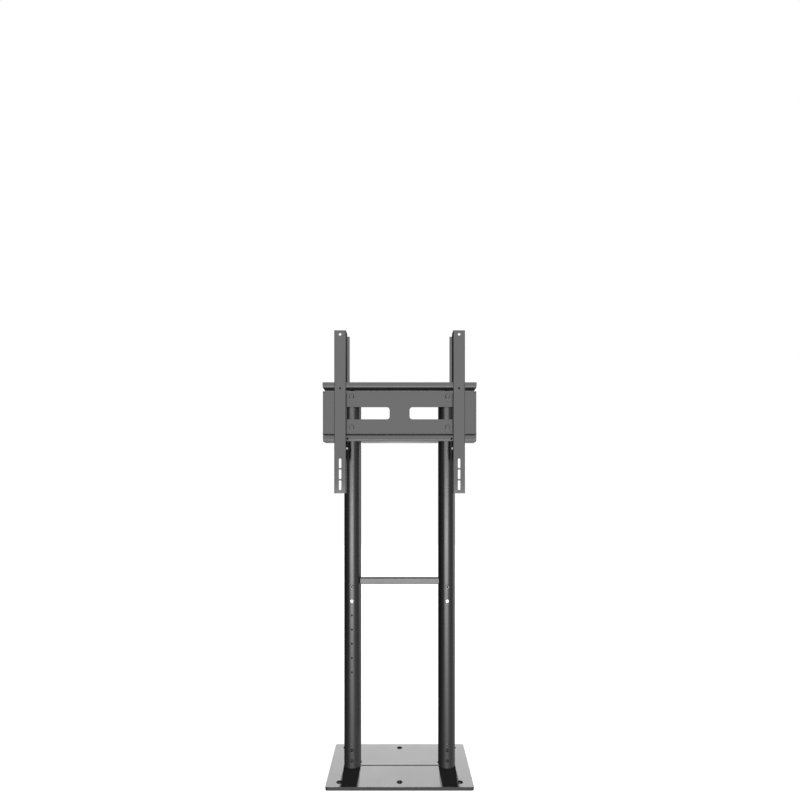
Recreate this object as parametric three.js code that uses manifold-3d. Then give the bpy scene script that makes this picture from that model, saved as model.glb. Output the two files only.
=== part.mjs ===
// A bolt-down floor stand for a screen: base plate, two round posts, crossbar, mount and two TV arms.
// Millimetres, +Z up, +X to the right, the screen side faces -Y. The origin is on the floor, mid-plate.
import * as THREE from "three";
import { mergeVertices } from "three/addons/utils/BufferGeometryUtils.js";
import Module from "manifold-3d";

const wasm = await Module();
wasm.setup();

// Clearances and counts shared by all pieces
const fitGap = 0.3; // between a piece and what it sits in, on or round
const overrun = 6; // how far a cutting solid runs past the faces it cuts
const roundSides = 16; // sides of a screw, hole or small round piece
const postSides = 40; // sides of a post and of what seats on it
const innerSides = 20; // sides of what stands inside a post
const bendSteps = 3; // facets in a sheet's bend
const cornerSteps = 3; // facets in a rounded corner
const weldDistance = 1e-4; // corners of a form nearer than this are one

// Base
const base = { width: 490, depth: 280, thickness: 12, cornerRadius: 7 };
const floorHole = { diameter: 12, sinkDiameter: 19, insetX: 43, insetY: 28 };

// Posts and what stands in them
const post = { diameter: 60, wall: 2.5, spacing: 335 };
const spigot = { height: 110, wall: 8 };
const plug = { length: 11 };

// Screws in a post's foot: button heads and grub screws by their thread, heights above the plate
const footScrew = { diameter: 6, headDiameter: 10.5, headHeight: 3.3, length: 14, heights: [25, 62] };
const grubScrew = { diameter: 5, proud: 0.6, length: 9, height: 84 };
const sideScrew = { diameter: 5, proud: 2.6, length: 9, outerHeight: 58, innerHeight: 7 };
const hexKey = { large: 5, medium: 4, small: 2.5, depth: 2 };
const rimShare = 0.33; // of a domed head's height, upright at its edge
const crownShare = 0.8; // of the key's width, the radius of a button head's flat top

// The row of holes down each post's front
const row = { topZ: 650, pitch: 50, holeDiameter: 6.5, leftCount: 7, rightCount: 2 };
const rowScrew = { headDiameter: 14, headHeight: 4.4, length: 12 };
const rowCap = { headDiameter: 13, headHeight: 2.6, stemLength: 8 };

// Crossbar
const bar = { size: 22, wall: 2, cornerRadius: 2.5, centreZ: 667 };
const insert = { length: 26 };
const barScrew = { diameter: 8, headDiameter: 14, headHeight: 4.4, length: 26 };
const accessPlug = { holeDiameter: 16, length: 6 };

// Flat bar on the base plate
const tie = { width: 27, thickness: 4 };

// Mount: the channel on the posts and the hook plate in front of it
const carrier = { width: 538, bottomZ: 1161, topZ: 1337, sheet: 3, bendRadius: 3, rearY: 30 };
const hook = { width: 523, sheet: 2.5, bendRadius: 2.5, frontY: -88, ledgeZ: 1180, railZ: 1337.5, lipTopZ: 1355 };
const slot = { innerX: 35, outerX: 205, height: 43, centreZ: 1259, cornerRadius: 10 };
const mountBolt = { diameter: 8, headAcross: 13, headHeight: 5.5, flangeDiameter: 17, flangeHeight: 2, endY: 46 };
const mountBoltZ = [1318, 1210];
const saddle = { diameter: 20, height: 5 };
const nut = { across: 13, height: 6.5 };

// TV arms
const arm = {
  centreX: 201.5, bottomZ: 978, topZ: 1530, width: 40, depth: 41, sheet: 2, bendRadius: 2, frontGap: 2,
};
const armFlange = { reach: 8.7, topZ: 1521, bottomZ: 1362 };
const armHole = { diameter: 9, topZ: 1516.5, lowDiameter: 7, lowZ: 1334 };
const armSlot = { width: 9.2, length: 33, bridge: 4, lowestZ: 1005.5, count: 4 };
const lift = 15; // how far an arm rises to come off its hook
const lipPlay = 1.5; // room behind the lip in the arm's cut-out

// Lock clips
const clip = { sheet: 1.5, depth: 24, bottomZ: 1098, travel: 16 };
const lockBolt = { diameter: 6, headAcross: 10, headHeight: 4, z: 1132, rearInset: 22, nutHeight: 5 };

// Places worked out from these sizes
const postX = post.spacing / 2;
const postRadius = post.diameter / 2;
const boreRadius = postRadius - post.wall;
const seatRadius = postRadius + fitGap;
const capZ = carrier.topZ - carrier.sheet; // underside of the channel's top
const postTopZ = capZ - carrier.bendRadius - fitGap; // clear of the bend's inside
const carrierFrontY = -seatRadius - carrier.sheet;
const hookRearY = carrierFrontY - fitGap;
const armFrontY = hook.frontY - arm.frontGap - arm.sheet;
const armRearY = armFrontY + arm.depth;
const lockBoltY = armRearY - lockBolt.rearInset;

const coat = (name) => finish(name, 0x17181a, 0.32, 0.35);
const zinc = (name) => finish(name, 0xc9ccd0, 0.3, 0.9);
const blackSteel = (name) => finish(name, 0x1c1c1e, 0.4, 0.7);
const blackPlastic = (name) => finish(name, 0x141415, 0.6, 0);

function finish(name, color, roughness, metalness) {
  return new THREE.MeshStandardMaterial({ name, color, roughness, metalness });
}

// Solids from three.js geometry, for cuts and joins

function solid(geometry) {
  const bare = geometry.index ? geometry.toNonIndexed() : geometry.clone();
  bare.deleteAttribute("normal");
  bare.deleteAttribute("uv");
  const merged = mergeVertices(bare, weldDistance);
  const vertProperties = merged.attributes.position.array;
  const triVerts = new Uint32Array(merged.index.array);
  return new wasm.Manifold(new wasm.Mesh({ numProp: 3, vertProperties, triVerts }));
}

function cut(body, ...tools) {
  return tools.reduce((left, tool) => left.subtract(tool), body);
}

function join(...bodies) {
  return bodies.reduce((whole, body) => whole.add(body));
}

function meshOf(name, body, material, position = [0, 0, 0]) {
  const { vertProperties, triVerts } = body.getMesh();
  const geometry = new THREE.BufferGeometry();
  geometry.setAttribute("position", new THREE.BufferAttribute(new Float32Array(vertProperties), 3));
  geometry.setIndex(new THREE.BufferAttribute(new Uint32Array(triVerts), 1));
  geometry.computeVertexNormals();
  const mesh = new THREE.Mesh(geometry, material);
  mesh.name = name;
  mesh.position.set(...position);
  return mesh;
}

// Forms

// A flat outline in X and Y raised from z = 0 to the given height.
function raised(shape, height) {
  return new THREE.ExtrudeGeometry(shape, { depth: height, bevelEnabled: false, curveSegments: cornerSteps });
}

// A profile of [radius, height] points, anticlockwise, turned about Z. It ends where it starts.
function turned(profile, sides = roundSides) {
  const points = profile.map(([r, z]) => new THREE.Vector2(r, z));
  return new THREE.LatheGeometry(points, sides).rotateX(Math.PI / 2);
}

// A pin about Z from z = 0 upwards.
function pin(radius, height, sides = roundSides) {
  return turned([[0, 0], [radius, 0], [radius, height], [0, height]], sides);
}

function tube(outerRadius, innerRadius, height, sides) {
  const profile = [[innerRadius, 0], [outerRadius, 0], [outerRadius, height], [innerRadius, height]];
  return turned([...profile, profile[0]], sides);
}

// A hexagonal bar about Z, across its flats.
function hexagon(across, height) {
  return pin(across / Math.sqrt(3), height, 6);
}

function box(width, depth, height) {
  return new THREE.BoxGeometry(width, depth, height);
}

function roundedRect(width, height, radius) {
  const [w, h] = [width / 2, height / 2];
  const shape = new THREE.Shape();
  shape.moveTo(-w + radius, -h);
  shape.lineTo(w - radius, -h);
  shape.absarc(w - radius, -h + radius, radius, -Math.PI / 2, 0);
  shape.lineTo(w, h - radius);
  shape.absarc(w - radius, h - radius, radius, 0, Math.PI / 2);
  shape.lineTo(-w + radius, h);
  shape.absarc(-w + radius, h - radius, radius, Math.PI / 2, Math.PI);
  shape.lineTo(-w, -h + radius);
  shape.absarc(-w + radius, -h + radius, radius, Math.PI, 1.5 * Math.PI);
  return shape;
}

// The section of a folded sheet: its mid-line corners, its thickness and its inside bend radius.
function folded(corners, sheet, bendRadius) {
  const points = corners.map(([u, v]) => new THREE.Vector2(u, v));
  const radius = bendRadius + sheet / 2;
  const line = [];
  points.forEach((point, i) => {
    if (i === 0 || i === points.length - 1) {
      const near = points[i === 0 ? 1 : i - 1];
      const along = i === 0 ? near.clone().sub(point) : point.clone().sub(near);
      line.push([point, along.normalize()]);
      return;
    }
    const before = point.clone().sub(points[i - 1]).normalize();
    const after = points[i + 1].clone().sub(point).normalize();
    const turn = Math.sign(before.cross(after));
    const half = Math.acos(THREE.MathUtils.clamp(before.dot(after), -1, 1)) / 2;
    const start = point.clone().sub(before.clone().multiplyScalar(radius * Math.tan(half)));
    const side = new THREE.Vector2(-before.y, before.x).multiplyScalar(turn);
    const centre = start.clone().add(side.clone().multiplyScalar(radius));
    for (let step = 0; step <= bendSteps; step += 1) {
      const angle = (turn * 2 * half * step) / bendSteps;
      const spoke = side.clone().negate().rotateAround(new THREE.Vector2(), angle);
      const along = before.clone().rotateAround(new THREE.Vector2(), angle);
      line.push([centre.clone().add(spoke.multiplyScalar(radius)), along]);
    }
  });
  const edge = (offset) => line.map(([p, t]) => new THREE.Vector2(p.x - t.y * offset, p.y + t.x * offset));
  return new THREE.Shape([...edge(-sheet / 2), ...edge(sheet / 2).reverse()]);
}

// Turns that lay a form built about Z along another axis
const alongX = (geometry) => geometry.rotateY(Math.PI / 2);
const alongY = (geometry) => geometry.rotateX(-Math.PI / 2);
const againstY = (geometry) => geometry.rotateX(Math.PI / 2);

// A section drawn in Y and Z, run along X and centred on x = 0.
function runAlongX(shape, length) {
  const basis = new THREE.Matrix4().makeBasis(
    new THREE.Vector3(0, 1, 0),
    new THREE.Vector3(0, 0, 1),
    new THREE.Vector3(1, 0, 0),
  );
  return raised(shape, length).applyMatrix4(basis).translate(-length / 2, 0, 0);
}

// An outline drawn in X and Z, cut through everything in front of and behind y.
function throughY(shape, depth, y) {
  return againstY(raised(shape, depth)).translate(0, y + depth / 2, 0);
}

// Screws, built about Z with the seat at z = 0, the head above it and the shank below

// The domed outside of a head, from its upright rim to a flat of the given radius.
function dome(radius, height, flatRadius) {
  const points = [];
  for (let step = 0; step <= bendSteps; step += 1) {
    const angle = (step / bendSteps) * (Math.PI / 2);
    const r = flatRadius + (radius - flatRadius) * Math.cos(angle);
    points.push([r, height * (rimShare + (1 - rimShare) * Math.sin(angle))]);
  }
  return points;
}

function buttonScrew({ diameter, length, headDiameter, headHeight }, key) {
  const radius = headDiameter / 2;
  const shank = diameter / 2;
  const crown = dome(radius, headHeight, key * crownShare);
  const profile = [[0, -length], [shank, -length], [shank, 0], [radius, 0], ...crown, [0, headHeight]];
  const socket = hexagon(key, hexKey.depth + overrun).translate(0, 0, headHeight - hexKey.depth);
  return cut(solid(turned(profile)), solid(socket));
}

// Base

function basePlate() {
  const shape = roundedRect(base.width, base.depth, base.cornerRadius);
  const plate = solid(raised(shape, base.thickness));
  const hole = floorHole.diameter / 2;
  const sink = floorHole.sinkDiameter / 2;
  const top = base.thickness;
  const profile = [[0, -overrun], [hole, -overrun], [hole, top - (sink - hole)], [sink, top]];
  const drill = turned([...profile, [sink, top + overrun], [0, top + overrun]]);
  const holeX = base.width / 2 - floorHole.insetX;
  const holeY = base.depth / 2 - floorHole.insetY;
  const tools = [];
  for (const x of [-holeX, 0, holeX]) {
    for (const y of [-holeY, holeY]) tools.push(solid(drill.clone().translate(x, y, 0)));
  }
  return meshOf("base_plate", cut(plate, ...tools), coat("coat"));
}

function footTieBar() {
  const flat = solid(box(post.spacing, tie.width, tie.thickness).translate(0, 0, tie.thickness / 2));
  return meshOf("foot_tie_bar", cut(flat, ...postSeats(tie.thickness)), coat("coat"), [0, 0, base.thickness]);
}

// Posts and their feet

// A drill along Y through a post's front wall, or through both walls.
function frontDrill(diameter, z, through = false) {
  const length = through ? post.diameter + 2 * overrun : postRadius + overrun;
  const far = through ? postRadius + overrun : 0;
  return solid(againstY(pin(diameter / 2, length)).translate(0, far, z));
}

// A drill from a post's axis out through its wall, towards +X or -X.
function sideDrill(diameter, z, direction) {
  const drill = alongX(pin(diameter / 2, postRadius + overrun));
  if (direction < 0) drill.rotateZ(Math.PI);
  return solid(drill.translate(0, 0, z));
}

function footScrewHoles(side) {
  const drills = footScrew.heights.map((z) => frontDrill(footScrew.diameter + 2 * fitGap, z));
  const sideHole = sideScrew.diameter + 2 * fitGap;
  return [
    ...drills,
    frontDrill(grubScrew.diameter + 2 * fitGap, grubScrew.height),
    sideDrill(sideHole, sideScrew.outerHeight, side),
    sideDrill(sideHole, sideScrew.innerHeight, -side),
  ];
}

function footSpigot(side, name) {
  const outer = boreRadius - fitGap;
  const stub = solid(tube(outer, outer - spigot.wall, spigot.height, innerSides));
  return meshOf(name, cut(stub, ...footScrewHoles(side)), coat("coat"), [side * postX, 0, base.thickness]);
}

function roundPost(side, name) {
  const height = postTopZ - base.thickness;
  const body = solid(tube(postRadius, boreRadius, height, postSides));
  const above = (z) => z - base.thickness;
  const count = side < 0 ? row.leftCount : row.rightCount;
  const tools = footScrewHoles(side);
  for (let i = 0; i < count; i += 1) {
    tools.push(frontDrill(row.holeDiameter, above(row.topZ - i * row.pitch)));
  }
  for (const z of mountBoltZ) {
    tools.push(frontDrill(mountBolt.diameter + 2 * fitGap, above(z), true));
  }
  tools.push(sideDrill(barScrew.diameter + 2 * fitGap, above(bar.centreZ), -side));
  tools.push(sideDrill(accessPlug.holeDiameter, above(bar.centreZ), side));
  return meshOf(name, cut(body, ...tools), coat("coat"), [side * postX, 0, base.thickness]);
}

function postPlug(side, name) {
  const body = solid(pin(boreRadius - fitGap, plug.length, innerSides));
  return meshOf(name, body, blackPlastic("plug"), [side * postX, 0, capZ - plug.length]);
}

// A piece built about Z, laid so that its head faces -Y on the front of a post.
function onPostFront(body, side, z, name, material) {
  const mesh = meshOf(name, body, material, [side * postX, -seatRadius, z]);
  mesh.rotation.x = Math.PI / 2;
  return mesh;
}

function footScrewPiece(side, height, name) {
  const screw = buttonScrew(footScrew, hexKey.medium);
  return onPostFront(screw, side, base.thickness + height, name, blackSteel("screw"));
}

// A headless screw with a socket in its end, which stands proud of the seat.
function headlessScrew({ diameter, length, proud }) {
  const body = solid(pin(diameter / 2, length + proud).translate(0, 0, -length));
  const key = solid(hexagon(hexKey.small, hexKey.depth + overrun).translate(0, 0, proud - hexKey.depth));
  return cut(body, key);
}

function footGrubScrew(side, name) {
  return onPostFront(headlessScrew(grubScrew), side, base.thickness + grubScrew.height, name, zinc("bright"));
}

// A screw that clamps the post on its spigot from the side that faces the given direction.
function footSideScrew(side, direction, height, name) {
  const place = [side * postX + direction * postRadius, 0, base.thickness + height];
  const mesh = meshOf(name, headlessScrew(sideScrew), blackSteel("screw"), place);
  mesh.rotation.y = (direction * Math.PI) / 2;
  return mesh;
}

function rowScrewPiece(side, name) {
  const screw = buttonScrew({ ...rowScrew, diameter: row.holeDiameter - 2 * fitGap }, hexKey.large);
  return onPostFront(screw, side, row.topZ, name, blackSteel("screw"));
}

function rowCapPiece(side, name) {
  const radius = rowCap.headDiameter / 2;
  const stem = row.holeDiameter / 2 - fitGap;
  const crown = dome(radius, rowCap.headHeight, 0);
  const cap = turned([[0, -rowCap.stemLength], [stem, -rowCap.stemLength], [stem, 0], [radius, 0], ...crown]);
  return onPostFront(solid(cap), side, row.topZ - row.pitch, name, zinc("bright"));
}

// Crossbar

function crossbar() {
  const outer = runAlongX(roundedRect(bar.size, bar.size, bar.cornerRadius), post.spacing);
  const bore = bar.size - 2 * bar.wall;
  const inner = runAlongX(roundedRect(bore, bore, bar.cornerRadius / 2), post.spacing + overrun);
  const body = cut(solid(outer), solid(inner), ...postSeats(bar.size));
  return meshOf("crossbar", body, coat("coat"), [0, 0, bar.centreZ]);
}

// Both posts as cutting solids, centred on z = 0.
function postSeats(height) {
  return [-1, 1].map((side) => solid(pin(seatRadius, height + 2 * overrun, postSides)
    .translate(side * postX, 0, -height / 2 - overrun)));
}

function crossbarInsert(side, name) {
  const size = bar.size - 2 * (bar.wall + fitGap);
  const length = insert.length + postRadius;
  const block = runAlongX(roundedRect(size, size, bar.cornerRadius / 2), length);
  const x = side * (postX - length / 2);
  const thread = alongX(pin(barScrew.diameter / 2 + fitGap, post.spacing)).translate(-postX, 0, 0);
  const body = cut(solid(block.translate(x, 0, 0)), solid(thread), ...postSeats(bar.size));
  return meshOf(name, body, zinc("insert"), [0, 0, bar.centreZ]);
}

function crossbarScrew(side, name) {
  const screw = buttonScrew(barScrew, hexKey.large);
  const flat = Math.sqrt(boreRadius ** 2 - (barScrew.headDiameter / 2) ** 2) - fitGap;
  const mesh = meshOf(name, screw, blackSteel("screw"), [side * (postX - flat), 0, bar.centreZ]);
  mesh.rotation.y = (side * Math.PI) / 2;
  return mesh;
}

// A plug whose outer end is curved as the post is and flush with it.
function accessPlugPiece(side, name) {
  const foot = postRadius - accessPlug.length;
  const blank = solid(pin(accessPlug.holeDiameter / 2 - fitGap, postRadius).translate(0, 0, foot));
  const reach = accessPlug.holeDiameter;
  const postSkin = solid(alongX(pin(postRadius, reach, postSides)).translate(-reach / 2, 0, 0));
  const key = solid(hexagon(hexKey.large, hexKey.depth + overrun).translate(0, 0, postRadius - hexKey.depth));
  const body = cut(blank.intersect(postSkin), key);
  const mesh = meshOf(name, body, blackPlastic("plug"), [side * postX, 0, bar.centreZ]);
  mesh.rotation.y = (side * Math.PI) / 2;
  return mesh;
}

// Mount

// The cable slots, as cutting solids through both plates.
function slotTools() {
  const width = slot.outerX - slot.innerX;
  const centreX = (slot.outerX + slot.innerX) / 2;
  return [-1, 1].map((side) => {
    const shape = roundedRect(width, slot.height, slot.cornerRadius);
    return solid(throughY(shape, post.diameter, hookRearY).translate(side * centreX, 0, slot.centreZ));
  });
}

function mountBoltDrills() {
  const drills = [];
  for (const side of [-1, 1]) {
    for (const z of mountBoltZ) {
      const drill = againstY(pin(mountBolt.diameter / 2 + fitGap, post.diameter));
      drills.push(solid(drill.translate(side * postX, 0, z)));
    }
  }
  return drills;
}

function postCarrier() {
  const half = carrier.sheet / 2;
  const webY = carrierFrontY + half;
  const section = folded([
    [carrier.rearY, carrier.bottomZ + half],
    [webY, carrier.bottomZ + half],
    [webY, carrier.topZ - half],
    [carrier.rearY, carrier.topZ - half],
  ], carrier.sheet, carrier.bendRadius);
  const channel = solid(runAlongX(section, carrier.width));
  const notches = [-1, 1].map((side) => {
    const bore = solid(pin(seatRadius, carrier.bendRadius + carrier.sheet + 2 * overrun, postSides));
    const mouth = solid(box(2 * seatRadius, carrier.rearY + overrun, 2 * overrun + carrier.sheet)
      .translate(0, (carrier.rearY + overrun) / 2, overrun + carrier.sheet / 2));
    return join(bore, mouth).translate([side * postX, 0, carrier.bottomZ - overrun]);
  });
  const body = cut(channel, ...notches, ...slotTools(), ...mountBoltDrills());
  return meshOf("post_carrier", body, coat("coat"));
}

function hookPlate() {
  const half = hook.sheet / 2;
  const webY = hookRearY - half;
  const section = folded([
    [hook.frontY, hook.ledgeZ + half],
    [webY, hook.ledgeZ + half],
    [webY, hook.railZ + half],
    [hook.frontY + half, hook.railZ + half],
    [hook.frontY + half, hook.lipTopZ],
  ], hook.sheet, hook.bendRadius);
  const plate = solid(runAlongX(section, hook.width));
  return meshOf("hook_plate", cut(plate, ...slotTools(), ...mountBoltDrills()), coat("coat"));
}

function mountBoltPiece(side, z, name) {
  const seatY = hookRearY - hook.sheet - fitGap;
  const radius = mountBolt.flangeDiameter / 2;
  const flange = solid(pin(radius, mountBolt.flangeHeight));
  const head = solid(hexagon(mountBolt.headAcross, mountBolt.flangeHeight + mountBolt.headHeight));
  const length = mountBolt.endY - seatY;
  const shank = solid(pin(mountBolt.diameter / 2, length + mountBolt.flangeHeight).translate(0, 0, -length));
  const mesh = meshOf(name, join(flange, head, shank), blackSteel("screw"), [side * postX, seatY, z]);
  mesh.rotation.x = Math.PI / 2;
  return mesh;
}

function mountSaddle(side, z, name) {
  const radius = saddle.diameter / 2;
  const blank = solid(alongY(pin(radius, postRadius + saddle.height)));
  const bore = solid(alongY(pin(mountBolt.diameter / 2 + fitGap, post.diameter)));
  const tubeSpace = solid(pin(seatRadius, 2 * (radius + overrun), postSides).translate(0, 0, -radius - overrun));
  return meshOf(name, cut(blank, bore, tubeSpace), blackPlastic("plug"), [side * postX, 0, z]);
}

function mountNut(side, z, name) {
  const body = cut(
    solid(alongY(hexagon(nut.across, nut.height))),
    solid(alongY(pin(mountBolt.diameter / 2 + fitGap, nut.height + 2 * overrun).translate(0, 0, -overrun))),
  );
  return meshOf(name, body, zinc("bright"), [side * postX, postRadius + saddle.height + fitGap, z]);
}

// TV arms: a channel open to the rear, with a flange above its hook on the side that faces the other arm

function armChannel(side) {
  const half = arm.sheet / 2;
  const outerX = side * (arm.width / 2 - half);
  const innerX = -outerX;
  const faceY = armFrontY + half;
  const tipX = -side * (arm.width / 2 + armFlange.reach);
  const flangeY = armRearY - half;
  const walls = [[outerX, armRearY], [outerX, faceY], [innerX, faceY]];
  const channel = folded([...walls, [innerX, armRearY]], arm.sheet, arm.bendRadius);
  const winged = folded([...walls, [innerX, flangeY], [tipX, flangeY]], arm.sheet, arm.bendRadius);
  const length = (shape, bottomZ, topZ) => solid(raised(shape, topZ - bottomZ).translate(0, 0, bottomZ));
  return join(
    length(channel, arm.bottomZ, armFlange.bottomZ),
    length(winged, armFlange.bottomZ, armFlange.topZ),
    length(channel, armFlange.topZ, arm.topZ),
  );
}

// The cut-outs in the arm's side walls that let it hang on the rail and pass the ledge
function armCutouts() {
  const frontY = hook.frontY - fitGap;
  const across = arm.width + 2 * overrun;
  const space = (y0, y1, z0, z1) =>
    solid(box(across, y1 - y0, z1 - z0).translate(0, (y0 + y1) / 2, (z0 + z1) / 2));
  const lipRearY = hook.frontY + hook.sheet + lipPlay;
  const rail = space(frontY, armRearY + overrun, hook.railZ - lift, hook.railZ + hook.sheet + fitGap);
  const lip = space(frontY, lipRearY, hook.railZ, hook.lipTopZ + fitGap);
  const ledge = space(frontY, armRearY + overrun, hook.ledgeZ - lift, hook.ledgeZ + hook.sheet + fitGap);
  return [rail, lip, ledge];
}

function armFaceHoles() {
  const through = 2 * overrun;
  const holes = [[armHole.diameter, armHole.topZ], [armHole.lowDiameter, armHole.lowZ]];
  const tools = holes.map(([diameter, z]) =>
    solid(againstY(pin(diameter / 2, through)).translate(0, armFrontY + overrun, z)));
  for (let i = 0; i < armSlot.count; i += 1) {
    const z = armSlot.lowestZ + i * (armSlot.length + armSlot.bridge);
    const shape = roundedRect(armSlot.width, armSlot.length, armSlot.width / 2 - fitGap);
    tools.push(solid(throughY(shape, through, armFrontY).translate(0, 0, z)));
  }
  return tools;
}

function lockBoltDrill() {
  const length = arm.width + 2 * overrun;
  const drill = alongX(pin(lockBolt.diameter / 2 + fitGap, length));
  return solid(drill.translate(-length / 2, lockBoltY, lockBolt.z));
}

function tvArm(side, name) {
  const body = cut(armChannel(side), ...armCutouts(), ...armFaceHoles(), lockBoltDrill());
  return meshOf(name, body, coat("coat"), [side * arm.centreX, 0, 0]);
}

// A clip in the arm: a small channel whose cheeks stand under the ledge
function lockClip(side, name) {
  const half = clip.sheet / 2;
  const cheekX = arm.width / 2 - arm.sheet - fitGap - half;
  const webY = armFrontY + arm.sheet + fitGap + half;
  const rearY = webY - half + clip.depth;
  const section = folded(
    [[-cheekX, rearY], [-cheekX, webY], [cheekX, webY], [cheekX, rearY]],
    clip.sheet, arm.bendRadius + fitGap - clip.sheet,
  );
  const topZ = hook.ledgeZ - fitGap;
  const body = solid(raised(section, topZ - clip.bottomZ).translate(0, 0, clip.bottomZ));
  const gap = lockBolt.diameter + 2 * fitGap;
  const track = roundedRect(clip.travel + gap, gap, gap / 2 - fitGap);
  const window = alongX(raised(track, arm.width)).translate(-arm.width / 2, lockBoltY, lockBolt.z + clip.travel / 2);
  return meshOf(name, cut(body, solid(window)), coat("coat"), [side * arm.centreX, 0, 0]);
}

function lockBoltPiece(side, name) {
  const seat = arm.width / 2 + fitGap;
  const length = 2 * seat + lockBolt.nutHeight + lockBolt.diameter / 2;
  const head = solid(hexagon(lockBolt.headAcross, lockBolt.headHeight));
  const shank = solid(pin(lockBolt.diameter / 2, length + lockBolt.headHeight / 2).translate(0, 0, -length));
  const place = [side * (arm.centreX - seat), lockBoltY, lockBolt.z];
  const mesh = meshOf(name, join(head, shank), zinc("bright"), place);
  mesh.rotation.y = (-side * Math.PI) / 2;
  return mesh;
}

function lockNut(side, name) {
  const body = cut(
    solid(hexagon(lockBolt.headAcross, lockBolt.nutHeight)),
    solid(pin(lockBolt.diameter / 2 + fitGap, lockBolt.nutHeight + 2 * overrun).translate(0, 0, -overrun)),
  );
  const seat = arm.width / 2 + fitGap;
  const mesh = meshOf(name, body, zinc("bright"), [side * (arm.centreX + seat), lockBoltY, lockBolt.z]);
  mesh.rotation.y = (side * Math.PI) / 2;
  return mesh;
}

// The whole stand

const stand = new THREE.Group();
stand.name = "tv_stand";
stand.add(basePlate(), footTieBar(), crossbar(), postCarrier(), hookPlate());

for (const [side, hand] of [[-1, "left"], [1, "right"]]) {
  stand.add(
    footSpigot(side, `${hand}_foot_spigot`),
    roundPost(side, `${hand}_post`),
    postPlug(side, `${hand}_post_plug`),
    footScrewPiece(side, footScrew.heights[0], `${hand}_lower_foot_screw`),
    footScrewPiece(side, footScrew.heights[1], `${hand}_upper_foot_screw`),
    footGrubScrew(side, `${hand}_foot_grub_screw`),
    footSideScrew(side, side, sideScrew.outerHeight, `${hand}_outer_side_screw`),
    footSideScrew(side, -side, sideScrew.innerHeight, `${hand}_inner_side_screw`),
    rowScrewPiece(side, `${hand}_row_screw`),
    rowCapPiece(side, `${hand}_row_cap`),
    crossbarInsert(side, `${hand}_crossbar_insert`),
    crossbarScrew(side, `${hand}_crossbar_screw`),
    accessPlugPiece(side, `${hand}_access_plug`),
    tvArm(side, `${hand}_tv_arm`),
    lockClip(side, `${hand}_lock_clip`),
    lockBoltPiece(side, `${hand}_lock_bolt`),
    lockNut(side, `${hand}_lock_nut`),
  );
  mountBoltZ.forEach((z, i) => {
    const level = i === 0 ? "upper" : "lower";
    stand.add(
      mountBoltPiece(side, z, `${hand}_${level}_mount_bolt`),
      mountSaddle(side, z, `${hand}_${level}_mount_saddle`),
      mountNut(side, z, `${hand}_${level}_mount_nut`),
    );
  });
}

export default stand;
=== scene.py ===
import math

import bmesh
import bpy
from mathutils import Matrix, Vector


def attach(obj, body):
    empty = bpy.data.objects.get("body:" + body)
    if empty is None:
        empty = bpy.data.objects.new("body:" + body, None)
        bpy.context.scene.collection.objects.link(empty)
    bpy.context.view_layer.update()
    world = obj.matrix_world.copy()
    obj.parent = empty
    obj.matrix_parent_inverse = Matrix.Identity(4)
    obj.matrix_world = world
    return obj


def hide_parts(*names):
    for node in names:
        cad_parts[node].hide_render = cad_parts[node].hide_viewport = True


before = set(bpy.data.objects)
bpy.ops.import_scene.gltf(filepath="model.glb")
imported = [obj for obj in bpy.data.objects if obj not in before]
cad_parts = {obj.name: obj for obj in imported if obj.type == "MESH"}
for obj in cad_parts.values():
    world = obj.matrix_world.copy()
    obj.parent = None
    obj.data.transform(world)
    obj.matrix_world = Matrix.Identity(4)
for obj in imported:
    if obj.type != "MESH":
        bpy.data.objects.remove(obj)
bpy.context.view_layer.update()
print("frame loaded:", len(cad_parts), "nodes")

# Sizes below are in millimetres, in the frame of the solids. Meshes become metres in finishPiece.
hands = (("left", -1), ("right", 1))
runOver = 6  # how far a cutter passes the faces it cuts
fitGap = 0.3  # between parts that fit together

# Sides of round forms
facets = {"tube": 96, "spigot": 72, "head": 64, "stem": 48, "hole": 40, "well": 36, "thread": 32}
edges = {"bevelFrom": 28, "sharpFrom": 35, "normalWeight": 60}  # the first two in degrees


# Camera, at the photograph's place: level, with the frame shifted up

photo = {
    "lens": 22.05,
    "sensor": 36,
    "height": 967.6,
    "distance": 1750.6,
    "middleX": 399.6,
    "horizonY": 496.4,
    "size": 800,
    "clipStart": 0.05,
}


def makeCamera():
    data = bpy.data.cameras.new("camera")
    data.lens = photo["lens"]
    data.sensor_width = photo["sensor"]
    data.clip_start = photo["clipStart"]
    data.shift_x = (photo["size"] / 2 - photo["middleX"]) / photo["size"]
    data.shift_y = (photo["horizonY"] - photo["size"] / 2) / photo["size"]
    camera = bpy.data.objects.new("camera", data)
    camera.location = (0, -photo["distance"] / 1000, photo["height"] / 1000)
    camera.rotation_euler = (math.radians(90), 0, 0)
    bpy.context.scene.collection.objects.link(camera)
    bpy.context.scene.camera = camera


makeCamera()
print("camera placed")


# Node material helpers

def newMaterial(name):
    material = bpy.data.materials.new(name)
    material.use_nodes = True
    tree = material.node_tree
    return material, tree, tree.nodes["Principled BSDF"]


def addNode(tree, kind, **settings):
    node = tree.nodes.new(kind)
    for key, value in settings.items():
        setattr(node, key, value)
    return node


def noiseNode(tree, place, size, stretch=None):
    scale, detail, roughness = size
    noise = addNode(tree, "ShaderNodeTexNoise")
    noise.inputs["Scale"].default_value = scale
    noise.inputs["Detail"].default_value = detail
    noise.inputs["Roughness"].default_value = roughness
    if stretch:
        mapping = addNode(tree, "ShaderNodeMapping")
        mapping.inputs["Scale"].default_value = stretch
        tree.links.new(place, mapping.inputs["Vector"])
        place = mapping.outputs["Vector"]
    tree.links.new(place, noise.inputs["Vector"])
    return noise.outputs["Fac"]


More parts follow.
